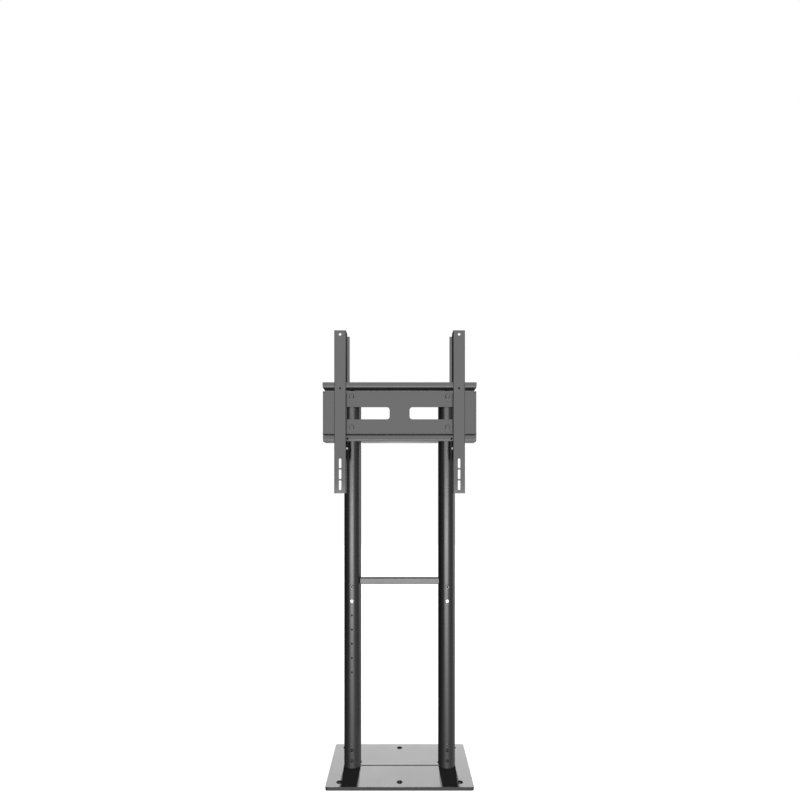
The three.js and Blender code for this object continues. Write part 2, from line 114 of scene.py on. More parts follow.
def spread(tree, value, low, high, start=0.3, end=0.7):
    mapped = addNode(tree, "ShaderNodeMapRange")
    for socket, number in (("From Min", start), ("From Max", end), ("To Min", low), ("To Max", high)):
        mapped.inputs[socket].default_value = number
    tree.links.new(value, mapped.inputs["Value"])
    return mapped.outputs["Result"]


def blendColours(tree, value, first, second):
    mixed = addNode(tree, "ShaderNodeMix", data_type="RGBA")
    mixed.inputs["A"].default_value = (*first, 1)
    mixed.inputs["B"].default_value = (*second, 1)
    tree.links.new(value, mixed.inputs["Factor"])
    return mixed.outputs["Result"]


def addBump(tree, shader, height, strength, distance, before=None):
    bump = addNode(tree, "ShaderNodeBump")
    bump.inputs["Strength"].default_value = strength
    bump.inputs["Distance"].default_value = distance
    tree.links.new(height, bump.inputs["Height"])
    if before:
        tree.links.new(before, bump.inputs["Normal"])
    tree.links.new(bump.outputs["Normal"], shader.inputs["Normal"])
    return bump.outputs["Normal"]


# Finishes. Noises are (scale, detail, roughness) and bumps are (strength, height in metres).

powderCoat = {
    "dark": (0.0035, 0.0035, 0.0038),
    "light": (0.0065, 0.0065, 0.0069),
    "roughness": (0.235, 0.275),
    "mountRoughness": (0.085, 0.105),  # formed sheet parts, whose faces are more even than the tubes
    "flatRoughness": (0.97, 0.985),  # tops of the plate and its bar, duller than the rest
    "underRoughness": (0.55, 0.6),  # faces of the hook plate that look down
    "level": (0.8, 0.95),  # how much a face looks up or down where that roughness starts and is full
    "cloud": (9, 2, 0.5),
    "tint": (240, 5, 0.6),
    "peel": (620, 2, 0.45),  # orange peel, about 1.6 mm
    "grain": (2600, 1, 0.5),
    "peelBump": (0.35, 0.00004),
    "grainBump": (0.12, 0.00002),
    "ior": 1.5,
}


# With levelRoughness given, faces that look up, or down where way is -1, have that roughness.
def makePowderCoat(name, roughness, levelRoughness=None, way=1):
    material, tree, shader = newMaterial(name)
    place = addNode(tree, "ShaderNodeTexCoord").outputs["Object"]
    cloud = noiseNode(tree, place, powderCoat["cloud"])
    tint = noiseNode(tree, place, powderCoat["tint"])
    peel = noiseNode(tree, place, powderCoat["peel"])
    grain = noiseNode(tree, place, powderCoat["grain"])
    tree.links.new(blendColours(tree, tint, powderCoat["dark"], powderCoat["light"]),
                   shader.inputs["Base Color"])
    dullness = spread(tree, cloud, *roughness)
    if levelRoughness:
        parts = addNode(tree, "ShaderNodeSeparateXYZ")
        tree.links.new(addNode(tree, "ShaderNodeNewGeometry").outputs["True Normal"], parts.inputs[0])
        start, end = powderCoat["level"]
        mixed = addNode(tree, "ShaderNodeMix", data_type="FLOAT")
        tree.links.new(spread(tree, parts.outputs["Z"], 0, 1, start * way, end * way), mixed.inputs["Factor"])
        tree.links.new(dullness, mixed.inputs["A"])
        tree.links.new(spread(tree, cloud, *levelRoughness), mixed.inputs["B"])
        dullness = mixed.outputs["Result"]
    tree.links.new(dullness, shader.inputs["Roughness"])
    first = addBump(tree, shader, peel, *powderCoat["peelBump"])
    addBump(tree, shader, grain, *powderCoat["grainBump"], before=first)
    shader.inputs["IOR"].default_value = powderCoat["ior"]
    return material


zincPlate = {
    "pale": (0.74, 0.75, 0.77),
    "blue": (0.58, 0.60, 0.64),
    "roughness": (0.2, 0.36),
    "dullPale": (0.17, 0.17, 0.175),  # dark passivated, on nuts, grub screws and clamp screws
    "dullBlue": (0.11, 0.11, 0.115),
    "dullRoughness": (0.26, 0.4),
    "stretch": (1, 1, 6),  # scale of the fine lines along X, Y and Z
}

turnedSteel = {
    "pale": (0.45, 0.45, 0.46),
    "deep": (0.33, 0.33, 0.34),
    "roughness": (0.3, 0.5),
    "stretch": (1, 6, 6),
}

# Shared by zinc and turned steel
bareMetal = {"patch": (130, 4, 0.6), "lines": (900, 2, 0.5), "lineBump": (0.25, 0.00003)}


def makeBareMetal(name, pale, deep, roughness, stretch):
    material, tree, shader = newMaterial(name)
    place = addNode(tree, "ShaderNodeTexCoord").outputs["Object"]
    patch = noiseNode(tree, place, bareMetal["patch"])
    lines = noiseNode(tree, place, bareMetal["lines"], stretch)
    tree.links.new(blendColours(tree, patch, pale, deep), shader.inputs["Base Color"])
    tree.links.new(spread(tree, lines, *roughness), shader.inputs["Roughness"])
    addBump(tree, shader, lines, *bareMetal["lineBump"])
    shader.inputs["Metallic"].default_value = 1.0
    return material


blackOxide = {
    "screw": ((0.065, 0.065, 0.068), (0.17, 0.17, 0.175)),
    "bolt": ((0.018, 0.018, 0.019), (0.045, 0.045, 0.047)),
    "roughness": (0.2, 0.3),
    "metallic": 0.75,
    "patch": (420, 5, 0.65),
    "wear": (0.45, 0.8),  # patch value where wear starts and is full
    "fine": (2400, 2, 0.5),
    "fineBump": (0.2, 0.00002),
    "paintedShade": (0.004, 0.004, 0.004),  # painted shade: near black in sockets and at the roots of threads
    "paintedShadeRoughness": 0.8,
    "paintedShadeReach": 0.008,  # metres
    "paintedShadeFade": (0.5, 0.9),  # how open a spot is where the painted shade starts to fade and where it ends
    "paintedShadeSamples": 12,
}


def makeBlackOxide(name, deep, worn):
    material, tree, shader = newMaterial(name)
    place = addNode(tree, "ShaderNodeTexCoord").outputs["Object"]
    patch = noiseNode(tree, place, blackOxide["patch"])
    fine = noiseNode(tree, place, blackOxide["fine"])
    unshadedOxide = blendColours(tree, spread(tree, patch, 0, 1, *blackOxide["wear"]), deep, worn)
    # Painted shade: an occlusion node finds spots hidden by the screw's own faces, such as sockets and thread
    # roots, and there the colour goes to near black and the surface goes dull
    reach = addNode(tree, "ShaderNodeAmbientOcclusion", samples=blackOxide["paintedShadeSamples"], only_local=True)
    reach.inputs["Distance"].default_value = blackOxide["paintedShadeReach"]
    openness = spread(tree, reach.outputs["AO"], 0, 1, *blackOxide["paintedShadeFade"])
    colour = addNode(tree, "ShaderNodeMix", data_type="RGBA")
    tree.links.new(openness, colour.inputs["Factor"])
    colour.inputs["A"].default_value = (*blackOxide["paintedShade"], 1)
    tree.links.new(unshadedOxide, colour.inputs["B"])
    tree.links.new(colour.outputs["Result"], shader.inputs["Base Color"])
    dullness = addNode(tree, "ShaderNodeMix", data_type="FLOAT")
    tree.links.new(openness, dullness.inputs["Factor"])
    dullness.inputs["A"].default_value = blackOxide["paintedShadeRoughness"]
    tree.links.new(spread(tree, patch, *blackOxide["roughness"]), dullness.inputs["B"])
    tree.links.new(dullness.outputs["Result"], shader.inputs["Roughness"])
    addBump(tree, shader, fine, *blackOxide["fineBump"])
    shader.inputs["Metallic"].default_value = blackOxide["metallic"]
    return material


mouldedPlastic = {
    "dark": (0.010, 0.010, 0.011),
    "light": (0.017, 0.017, 0.018),
    "roughness": (0.5, 0.62),
    "cloud": (60, 2, 0.5),
    "grain": (1500, 3, 0.6),
    "grainBump": (0.4, 0.00005),
}


def makePlastic():
    material, tree, shader = newMaterial("mouldedPlasticBlack")
    place = addNode(tree, "ShaderNodeTexCoord").outputs["Object"]
    grain = noiseNode(tree, place, mouldedPlastic["grain"])
    cloud = noiseNode(tree, place, mouldedPlastic["cloud"])
    tree.links.new(blendColours(tree, cloud, mouldedPlastic["dark"], mouldedPlastic["light"]),
                   shader.inputs["Base Color"])
    tree.links.new(spread(tree, grain, *mouldedPlastic["roughness"]), shader.inputs["Roughness"])
    addBump(tree, shader, grain, *mouldedPlastic["grainBump"])
    return material


finishes = {
    "coat": makePowderCoat("powderCoatBlack", powderCoat["roughness"]),
    "flat": makePowderCoat("powderCoatFlat", powderCoat["roughness"], powderCoat["flatRoughness"]),
    "sheet": makePowderCoat("powderCoatSheet", powderCoat["mountRoughness"]),
    "hook": makePowderCoat("powderCoatHook", powderCoat["mountRoughness"], powderCoat["underRoughness"], -1),
    "bright": makeBareMetal("zincBright", zincPlate["pale"], zincPlate["blue"], zincPlate["roughness"],
                            zincPlate["stretch"]),
    "dull": makeBareMetal("zincDull", zincPlate["dullPale"], zincPlate["dullBlue"],
                          zincPlate["dullRoughness"], zincPlate["stretch"]),
    "insert": makeBareMetal("turnedSteel", turnedSteel["pale"], turnedSteel["deep"],
                            turnedSteel["roughness"], turnedSteel["stretch"]),
    "screw": makeBlackOxide("blackOxideScrew", *blackOxide["screw"]),
    "bolt": makeBlackOxide("blackOxideBolt", *blackOxide["bolt"]),
    "plug": makePlastic(),
}
print("finishes made:", len(finishes))


# Mesh helpers

# Quads between rings of points, with the end rings filled unless the rings close on themselves.
def meshFromRings(rings, closed=False):
    mesh = bpy.data.meshes.new("shape")
    bm = bmesh.new()
    rows = [[bm.verts.new(p) for p in ring] for ring in rings]
    pairs = list(zip(rows, rows[1:]))
    if closed:
        pairs.append((rows[-1], rows[0]))
    for low, high in pairs:
        for i in range(len(low)):
            j = (i + 1) % len(low)
            bm.faces.new((low[i], low[j], high[j], high[i]))
    if not closed:
        bm.faces.new(list(reversed(rows[0])))
        bm.faces.new(rows[-1])
    bmesh.ops.recalc_face_normals(bm, faces=bm.faces)
    bm.to_mesh(mesh)
    bm.free()
    return mesh


def circle(radius, height, sides):
    turn = [2 * math.pi * i / sides for i in range(sides)]
    return [(radius * math.cos(a), radius * math.sin(a), height) for a in turn]


# Points of (radius, height) turned about Z. A closed profile gives a tube.
def turned(profile, sides=facets["head"], closed=False):
    return meshFromRings([circle(radius, height, sides) for radius, height in profile], closed)


def pin(radius, low, high, sides):
    return turned([(radius, low), (radius, high)], sides)


def raised(outline, low, high):
    return meshFromRings([[(x, y, low) for x, y in outline], [(x, y, high) for x, y in outline]])


def block(x0, x1, y0, y1, z0, z1):
    return raised([(x0, y0), (x1, y0), (x1, y1), (x0, y1)], z0, z1)


def roundedRect(width, height, radius, steps=8):
    outline = []
    for cx, cy, start in ((1, -1, -90), (1, 1, 0), (-1, 1, 90), (-1, -1, 180)):
        for i in range(steps + 1):
            angle = math.radians(start + 90 * i / steps)
            x = cx * (width / 2 - radius) + radius * math.cos(angle)
            y = cy * (height / 2 - radius) + radius * math.sin(angle)
            outline.append((x, y))
    return outline


def hexagon(across):
    radius = across / math.sqrt(3)
    return [(radius * math.cos(math.pi * i / 3), radius * math.sin(math.pi * i / 3)) for i in range(6)]


# The section of a folded sheet from the corners of its middle line.
def foldedSheet(corners, sheet, bend, steps=8):
    points = [Vector(c) for c in corners]
    radius = bend + sheet / 2
    line = []
    for i, point in enumerate(points):
        if i in (0, len(points) - 1):
            along = points[1] - point if i == 0 else point - points[i - 1]
            line.append((point, along.normalized()))
            continue
        before = (point - points[i - 1]).normalized()
        after = (points[i + 1] - point).normalized()
        turn = 1 if before.cross(after) > 0 else -1
        angle = math.acos(max(-1, min(1, before.dot(after))))
        start = point - before * radius * math.tan(angle / 2)
        side = Vector((-before.y, before.x)) * turn
        centre = start + side * radius
        for step in range(steps + 1):
            rotation = Matrix.Rotation(turn * angle * step / steps, 2)
            line.append((centre + rotation @ (-side) * radius, rotation @ before))
    left = [(p.x - t.y * sheet / 2, p.y + t.x * sheet / 2) for p, t in line]
    right = [(p.x + t.y * sheet / 2, p.y - t.x * sheet / 2) for p, t in line]
    return right + left[::-1]


alongX = Matrix.Rotation(math.pi / 2, 4, "Y")  # Z to +X
alongY = Matrix.Rotation(-math.pi / 2, 4, "X")  # Z to +Y
againstY = Matrix.Rotation(math.pi / 2, 4, "X")  # Z to -Y
sectionAlongX = Matrix(((0, 0, 1, 0), (1, 0, 0, 0), (0, 1, 0, 0), (0, 0, 0, 1)))  # a section in Y and Z


def sideways(way):
    return Matrix.Rotation(way * math.pi / 2, 4, "Y")  # Z to +X, or to -X where way is -1


def placed(mesh, turn=None, at=(0, 0, 0)):
    if turn is not None:
        mesh.transform(turn)
    mesh.transform(Matrix.Translation(at))
    return mesh


def looseObject(name, mesh):
    thing = bpy.data.objects.new(name, mesh)
    bpy.context.scene.collection.objects.link(thing)
    return thing


def applyModifiers(thing):
    bpy.context.view_layer.update()
    graph = bpy.context.evaluated_depsgraph_get()
    mesh = bpy.data.meshes.new_from_object(thing.evaluated_get(graph))
    old = thing.data
    thing.modifiers.clear()
    thing.data = mesh
    bpy.data.meshes.remove(old)


def carve(thing, cutters, operation="DIFFERENCE"):
    tools = []
    for mesh in cutters:
        tool = looseObject("cutter", mesh)
        tools.append(tool)
        modifier = thing.modifiers.new("cut", "BOOLEAN")
        modifier.operation = operation
        modifier.solver = "EXACT"
        modifier.object = tool
    applyModifiers(thing)
    for tool in tools:
        mesh = tool.data
        bpy.data.objects.remove(tool)
        bpy.data.meshes.remove(mesh)


def softenEdges(thing, width, segments=2):
    bevel = thing.modifiers.new("edge", "BEVEL")
    bevel.width = width
    bevel.segments = segments
    bevel.limit_method = "ANGLE"
    bevel.angle_limit = math.radians(edges["bevelFrom"])
    bevel.use_clamp_overlap = True
    bevel.miter_outer = "MITER_ARC"
    applyModifiers(thing)


# The mesh that is left after carving, without an object of its own.
def carvedMesh(mesh, cutters, operation="DIFFERENCE", edge=0):
    thing = looseObject("blank", mesh)
    carve(thing, cutters, operation)
    if edge:
        softenEdges(thing, edge)
    result = thing.data.copy()
    bpy.data.objects.remove(thing)
    return result


def smoothShade(thing):
    for polygon in thing.data.polygons:
        polygon.use_smooth = True
    thing.data.set_sharp_from_angle(angle=math.radians(edges["sharpFrom"]))
    weigh = thing.modifiers.new("normals", "WEIGHTED_NORMAL")
    weigh.keep_sharp = True
    weigh.weight = edges["normalWeight"]
    applyModifiers(thing)


def finishPiece(thing, body, finish, stands):
    smoothShade(thing)
    thing.data.transform(Matrix.Scale(0.001, 4))
    thing.data.materials.clear()
    thing.data.materials.append(finishes[finish])
    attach(thing, body)
    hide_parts(stands)


def makePiece(name, mesh, cutters=(), edge=0, edgeSteps=2, body="stand", finish="coat"):
    thing = looseObject(name + "_fine", mesh)
    if cutters:
        carve(thing, cutters)
    if edge:
        softenEdges(thing, edge, edgeSteps)
    finishPiece(thing, body, finish, name)


# Base plate and tie bar

base = {"width": 490, "depth": 280, "thickness": 12, "corner": 7, "cornerSteps": 10, "edge": 0.4,
        "edgeSteps": 3}
floorHole = {"radius": 6, "sink": 10.4, "x": 202, "y": 112, "drill": 40}
tie = {"width": 27, "thickness": 4, "edge": 1.5, "edgeSteps": 3, "notch": (0, 60)}
post = {
    "radius": 30,
    "bore": 27.5,
    "x": 167.5,
    "top": 1330.7,
    "edge": 0.35,
    "rings": (20, 55, 84, 110, 230, 663, 689, 850, 1000, 1130),  # heights where the mesh has a ring
    "holeRings": 14,  # and this far above and below each hole of the row and the mount
}


def countersink(top):
    shank, head = floorHole["radius"], floorHole["sink"]
    return turned([(shank, top - floorHole["drill"]), (shank, top - (head - shank)), (head, top),
                   (head, top + runOver)])


# What a post takes out of a part that lies against it.
def postCutter(side, low, high):
    return placed(pin(post["radius"] + fitGap, low, high, facets["tube"]), at=(side * post["x"], 0, 0))


def makeBasePlate():
    cutters = []
    for x in (-floorHole["x"], 0, floorHole["x"]):
        for y in (-floorHole["y"], floorHole["y"]):
            cutters.append(placed(countersink(base["thickness"]), at=(x, y, 0)))
    outline = roundedRect(base["width"], base["depth"], base["corner"], base["cornerSteps"])
    makePiece("base_plate", raised(outline, 0, base["thickness"]), cutters, base["edge"], base["edgeSteps"],
              finish="flat")


def makeTieBar():
    low, high = base["thickness"], base["thickness"] + tie["thickness"]
    body = block(-post["x"], post["x"], -tie["width"] / 2, tie["width"] / 2, low, high)
    cutters = [postCutter(side, *tie["notch"]) for _, side in hands]
    makePiece("foot_tie_bar", body, cutters, tie["edge"], tie["edgeSteps"], finish="flat")


makeBasePlate()
makeTieBar()
print("base made")


# Posts

row = {"top": 650, "pitch": 50, "radius": 3.25, "left": 7, "right": 2}  # left and right are counts of holes
foot = {"screws": (37, 74), "radius": 3.3, "grub": 96, "grubRadius": 2.8, "outer": 70, "inner": 19}
mount = {"holeRadius": 4.3, "heights": (1318, 1210), "drill": (26, 44)}  # drill: in front of the posts' axes
bar = {"size": 22, "wall": 2, "corner": 2.5, "innerCorner": 1.2, "z": 667, "seat": (600, 740), "edge": 0.25,
       "boreReach": 200, "screwHole": 4.3, "accessHole": 8}
spigot = {"radius": 27.2, "bore": 19.2, "top": 122, "chamfer": 1.2, "edge": 0.3}
postPlug = {
    "radius": 27.2,
    "bottom": 1323,
    "top": 1334,
    "nose": (3.2, 1.5),  # narrower below by this much, over this height
    "grooves": 3,
    "firstGroove": 1325.2,
    "pitch": 2.4,
    "depth": 0.8,
    "width": 1.8,
    "slope": 0.5,
}


def frontDrill(radius, z, side, deep=0.0):
    drill = pin(radius, -deep, post["radius"] + runOver, facets["hole"])
    return placed(drill, againstY, (side * post["x"], 0, z))


def sideDrill(radius, z, side, way):
    drill = pin(radius, 0, post["radius"] + runOver, facets["hole"])
    return placed(drill, sideways(way), (side * post["x"], 0, z))


def footDrills(side):
    drills = [frontDrill(foot["radius"], z, side) for z in foot["screws"]]
    drills.append(frontDrill(foot["grubRadius"], foot["grub"], side))
    drills.append(sideDrill(foot["grubRadius"], foot["outer"], side, side))
    drills.append(sideDrill(foot["grubRadius"], foot["inner"], side, -side))
    return drills


def makePosts():
    through = post["radius"] + runOver
    for hand, side in hands:
        heights = [row["top"] - i * row["pitch"] for i in range(row[hand])]
        levels = {base["thickness"], post["top"], *post["rings"]}
        for z in [*heights, *mount["heights"]]:
            levels.update((z - post["holeRings"], z + post["holeRings"]))
        levels = sorted(levels)
        profile = [(post["bore"], z) for z in levels] + [(post["radius"], z) for z in reversed(levels)]
        tube = placed(turned(profile, facets["tube"], True), at=(side * post["x"], 0, 0))
        cutters = [frontDrill(row["radius"], z, side) for z in heights]
        cutters += footDrills(side)
        cutters += [frontDrill(mount["holeRadius"], z, side, through) for z in mount["heights"]]
        cutters.append(sideDrill(bar["screwHole"], bar["z"], side, -side))
        cutters.append(sideDrill(bar["accessHole"], bar["z"], side, side))
        makePiece(hand + "_post", tube, cutters, post["edge"])


def makeSpigots():
    low, top, radius, chamfer = base["thickness"], spigot["top"], spigot["radius"], spigot["chamfer"]
    profile = [(spigot["bore"], low), (spigot["bore"], top), (radius - chamfer, top), (radius, top - chamfer),
               (radius, low)]
    for hand, side in hands:
        tube = placed(turned(profile, facets["spigot"], True), at=(side * post["x"], 0, 0))
        makePiece(hand + "_foot_spigot", tube, footDrills(side), spigot["edge"])


def makePostPlugs():
    radius, slope, width = postPlug["radius"], postPlug["slope"], postPlug["width"]
    inset, rise = postPlug["nose"]
    profile = [(radius - inset, postPlug["bottom"]), (radius, postPlug["bottom"] + rise)]
    inner = radius - postPlug["depth"]
    for i in range(postPlug["grooves"]):
        z = postPlug["firstGroove"] + i * postPlug["pitch"]
        profile += [(radius, z), (inner, z + slope), (inner, z + width - slope), (radius, z + width)]
    profile.append((radius, postPlug["top"]))
    for hand, side in hands:
        makePiece(hand + "_post_plug", placed(turned(profile, facets["spigot"]), at=(side * post["x"], 0, 0)),
                  finish="plug")


makePosts()
makeSpigots()
makePostPlugs()
print("posts made")


# Crossbar

insert = {"length": 56, "corner": 1.2, "edge": 0.3}


def makeCrossbar():
    outer = placed(raised(roundedRect(bar["size"], bar["size"], bar["corner"]), -post["x"], post["x"]),
                   sectionAlongX, (0, 0, bar["z"]))
    bore = bar["size"] - 2 * bar["wall"]
    inner = placed(raised(roundedRect(bore, bore, bar["innerCorner"]), -bar["boreReach"], bar["boreReach"]),
                   sectionAlongX, (0, 0, bar["z"]))
    seats = [postCutter(side, *bar["seat"]) for _, side in hands]
    makePiece("crossbar", outer, [inner, *seats], bar["edge"])


def makeCrossbarInserts():
    size = bar["size"] - 2 * (bar["wall"] + fitGap)
    for hand, side in hands:
        low, high = sorted((side * (post["x"] - insert["length"]), side * post["x"]))
        body = placed(raised(roundedRect(size, size, insert["corner"]), low, high), sectionAlongX,
                      (0, 0, bar["z"]))
        bore = placed(pin(bar["screwHole"], -bar["boreReach"], bar["boreReach"], facets["hole"]), alongX,
                      (0, 0, bar["z"]))
        makePiece(hand + "_crossbar_insert", body, [bore, postCutter(side, *bar["seat"])], insert["edge"],
                  finish="insert")


makeCrossbar()
makeCrossbarInserts()
print("crossbar made")


# Screws, built about Z with the seat at 0 and the head above it

button = {
    "neck": 4.4,  # length below the head, so that the socket can go deeper than the head is high
    "rim": 0.25,
    "domeStart": 0.33,  # share of the height below the dome
    "domeSteps": 10,
    "flat": 0.8,  # radius of the flat top, as a share of the key
    "socket": (0.5, 10),
    "wellRadius": 0.75,  # share of the neck's radius
    "wellEnd": 0.8,  # height of the drilled point, and of what is left below it
    "wellTop": 0.8,
    "tip": 0.05,  # radius at the drilled point
    "edge": 0.12,
}
footScrew = {"radius": 6.2, "height": 3.6, "key": 4.5, "neck": 3.15, "thread": 3, "pitch": 1, "length": 14}
rowScrew = {"radius": 7, "height": 4.4, "key": 6.5, "neck": 3.1, "thread": 2.95, "pitch": 1, "length": 12}
barScrew = {"radius": 7, "height": 4.4, "key": 5, "neck": 3.8, "thread": 4, "pitch": 1.25, "length": 26}
headless = {"thread": 2.5, "pitch": 0.8, "length": 9, "key": 2.5, "socket": 2, "frontProud": -2.2,
            "sideProud": 2.6}
rowCap = {"radius": 5.9, "height": 2.6, "rim": 0.2, "steps": 12, "tip": 0.05, "stem": 2.95, "stemLength": 8,
          "stemPoint": (0.35, 0.6)}
accessPlug = {"radius": 7.7, "inner": 24, "outer": 31, "point": (0.5, 0.6), "key": 5, "socket": (28, 36),
              "half": 12, "edge": 0.15}
hexagonal = {
    "face": 0.97,  # width of the round end face, as a share of the width across the flats
    "slope": 0.66,  # how steeply the corners are turned down
    "edge": 0.12,
    "clear": 0.4,  # how far the cutter stands outside the corners, above and below
    "wide": 1,
    "past": 0.001,
    "drill": (-5, 15),
}
thread = {
    "depth": 0.54,  # share of the pitch
    "flank": 2.4,  # steepness of the ridges
    "perTurn": 8,
    "endTaper": 0.14,  # how much thinner the ends are, as a share
    "taperStart": 0.55,
    "lowEnd": 0.82,  # the ends' radius, as a share
    "highEnd": 0.78,
}
lap = {"neck": 0.1, "thread": 0.4, "head": 0.5}  # how far joined lengths run into each other


def domeProfile(radius, height, flat, steps):
    start = button["domeStart"]
    points = []
    for i in range(steps + 1):
        angle = math.pi / 2 * i / steps
        points.append((flat + (radius - flat) * math.cos(angle),
                       height * (start + (1 - start) * math.sin(angle))))
    return points


def threadedBar(radius, pitch, low, high):
    sides = facets["thread"]
    count = max(2, round((high - low) / pitch * thread["perTurn"]))
    rings = [circle(thread["lowEnd"] * radius, low, sides)]
    for k in range(count + 1):
        z = low + (high - low) * k / count
        taper = min(1, thread["taperStart"] + min(z - low, high - z) / pitch)
        narrowing = 1 - thread["endTaper"] * (1 - taper)
        ring = []
        for i in range(sides):
            phase = (z / pitch - i / sides) % 1
            ridge = min(1, thread["flank"] * abs(phase - 0.5))
            reach = (radius - thread["depth"] * pitch * (1 - ridge)) * narrowing
            angle = 2 * math.pi * i / sides
            ring.append((reach * math.cos(angle), reach * math.sin(angle), z))
        rings.append(ring)
    rings.append(circle(thread["highEnd"] * radius, high, sides))
    return meshFromRings(rings)


def joinMeshes(name, meshes):
    bm = bmesh.new()
    for mesh in meshes:
        bm.from_mesh(mesh)
        bpy.data.meshes.remove(mesh)
    joined = bpy.data.meshes.new(name)
    bm.to_mesh(joined)
    bm.free()
    return joined


def buttonHead(radius, height, key, neck):
    low = -button["neck"]
    profile = [(neck, low), (neck, 0), (radius - button["rim"], 0), (radius, button["rim"]),
               *domeProfile(radius, height, button["flat"] * key, button["domeSteps"])]
    bore = button["wellRadius"] * neck
    well = turned([(button["tip"], low + button["wellEnd"]), (bore, low + 2 * button["wellEnd"]),
                   (bore, button["wellTop"])], facets["well"])
    return carvedMesh(turned(profile), [raised(hexagon(key), *button["socket"]), well], edge=button["edge"])


def socketScrew(size):
    head = buttonHead(size["radius"], size["height"], size["key"], size["neck"])
    shank = threadedBar(size["thread"], size["pitch"], -size["length"], lap["neck"] - button["neck"])
    return joinMeshes("screw", [head, shank])


# A screw without a head, with a hexagonal socket in its end.
def headlessScrew(proud):
    socket = raised(hexagon(headless["key"]), proud - headless["socket"], proud + 2 * headless["socket"])
    body = threadedBar(headless["thread"], headless["pitch"], -headless["length"], proud)
    return carvedMesh(body, [socket])


# A hexagon whose corners are turned down at its top, and at its bottom too for a nut.
def hexagonBlank(across, low, high, nut=False):
    corner = across / math.sqrt(3)
    face = across / 2 * hexagonal["face"]
    drop = (corner - face) * hexagonal["slope"]
    outside = corner + hexagonal["clear"]
    if nut:
        profile = [(face, low - hexagonal["past"]), (outside, low + drop)]
    else:
        profile = [(corner + hexagonal["wide"], low - hexagonal["past"])]
    profile += [(outside, high - drop), (face, high + hexagonal["past"])]
    return carvedMesh(raised(hexagon(across), low, high), [turned(profile)], "INTERSECT", hexagonal["edge"])


def nutMesh(across, height, bore):
    return carvedMesh(hexagonBlank(across, 0, height, nut=True),
                      [pin(bore, *hexagonal["drill"], facets["hole"])])


# A plain shank and the thread below it, down to end.
def shankParts(radius, pitch, end, threadLength):
    shank = turned([(radius, end + threadLength), (radius, lap["head"])], facets["hole"])
    return [shank, threadedBar(radius, pitch, end, end + threadLength + lap["thread"])]


def capMesh():
    radius, rim, stem = rowCap["radius"], rowCap["rim"], rowCap["stem"]
    inset, rise = rowCap["stemPoint"]
    shank = [(stem - inset, -rowCap["stemLength"]), (stem, rise - rowCap["stemLength"]), (stem, rim)]
    crown = [(radius - rim, 0), (radius, rim),
             *domeProfile(radius, rowCap["height"], rowCap["tip"], rowCap["steps"])]
    return joinMeshes("cap", [turned(shank, facets["stem"]), turned(crown)])


def onPost(mesh, side, z):
    return placed(mesh, againstY, (side * post["x"], -(post["radius"] + fitGap), z))


def makePostScrews():
    for hand, side in hands:
        for level, z in zip(("lower", "upper"), foot["screws"]):
            makePiece(f"{hand}_{level}_foot_screw", onPost(socketScrew(footScrew), side, z), finish="bolt")
        makePiece(hand + "_row_screw", onPost(socketScrew(rowScrew), side, row["top"]), finish="screw")
        makePiece(hand + "_row_cap", onPost(capMesh(), side, row["top"] - row["pitch"]), finish="bright")
        grub = onPost(headlessScrew(headless["frontProud"]), side, foot["grub"])
        makePiece(hand + "_foot_grub_screw", grub, finish="dull")
        for name, z, way in (("outer", foot["outer"], side), ("inner", foot["inner"], -side)):
            at = (side * post["x"] + way * post["radius"], 0, z)
            screw = placed(headlessScrew(headless["sideProud"]), sideways(way), at)
            makePiece(f"{hand}_{name}_side_screw", screw, finish="bolt")


def makeCrossbarScrews():
    seat = post["x"] - math.sqrt(post["bore"] ** 2 - barScrew["radius"] ** 2) + fitGap
    for hand, side in hands:
        makePiece(hand + "_crossbar_screw",
                  placed(socketScrew(barScrew), sideways(side), (side * seat, 0, bar["z"])), finish="screw")


# Plugs that end flush with the post, curved as it is, with a socket for a key.
def makeAccessPlugs():
    radius, half = accessPlug["radius"], accessPlug["half"]
    inset, rise = accessPlug["point"]
    for hand, side in hands:
        blank = turned([(radius - inset, accessPlug["inner"]), (radius, accessPlug["inner"] + rise),
                        (radius, accessPlug["outer"])])
        curve = placed(pin(post["radius"], -half, half, facets["tube"]), alongX)
        socket = raised(hexagon(accessPlug["key"]), *accessPlug["socket"])
        mesh = carvedMesh(carvedMesh(blank, [curve], "INTERSECT"), [socket])
        makePiece(hand + "_access_plug", placed(mesh, sideways(side), (side * post["x"], 0, bar["z"])),
                  edge=accessPlug["edge"], finish="plug")


makePostScrews()
makeCrossbarScrews()
makeAccessPlugs()
print("screws made")


# Mount: channel on the posts and hook plate in front of it

carrier = {"half": 269, "bottom": 1161, "top": 1337, "sheet": 3, "bend": 3, "rear": 30, "front": -33.3,
           "edge": 0.4, "notchSteps": 48}
hook = {"half": 261.5, "sheet": 2.5, "bend": 2.5, "front": -88, "rear": -33.6, "ledge": 1180, "rail": 1337.5,
        "lip": 1355, "edge": 0.4}
slot = {"inner": 35, "outer": 205, "height": 43, "z": 1259, "corner": 10, "cornerSteps": 10}
mountBolt = {
    "across": 13,
    "flange": ((8.2, 0), (8.5, 0.3), (8.5, 1), (7.2, 2)),  # its profile, as (radius, height)
    "head": (1.8, 7.5),
    "radius": 4,
    "pitch": 1.25,
    "end": 46,  # how far it reaches behind the posts' axes
    "threadLength": 22,
}
saddle = {"radius": 10, "front": 20, "rear": 35, "chamfer": 0.6, "edge": 0.2, "drill": 60, "half": 30}
mountNut = {"height": 6.5, "y": 35.3}


def plateCutters():
    cutters = []
    for _, side in hands:
        outline = roundedRect(slot["outer"] - slot["inner"], slot["height"], slot["corner"],
                              slot["cornerSteps"])
        middle = side * (slot["outer"] + slot["inner"]) / 2
        cutters.append(placed(raised(outline, *mount["drill"]), againstY, (middle, 0, slot["z"])))
        for z in mount["heights"]:
            drill = pin(mount["holeRadius"], *mount["drill"], facets["hole"])
            cutters.append(placed(drill, againstY, (side * post["x"], 0, z)))
    return cutters


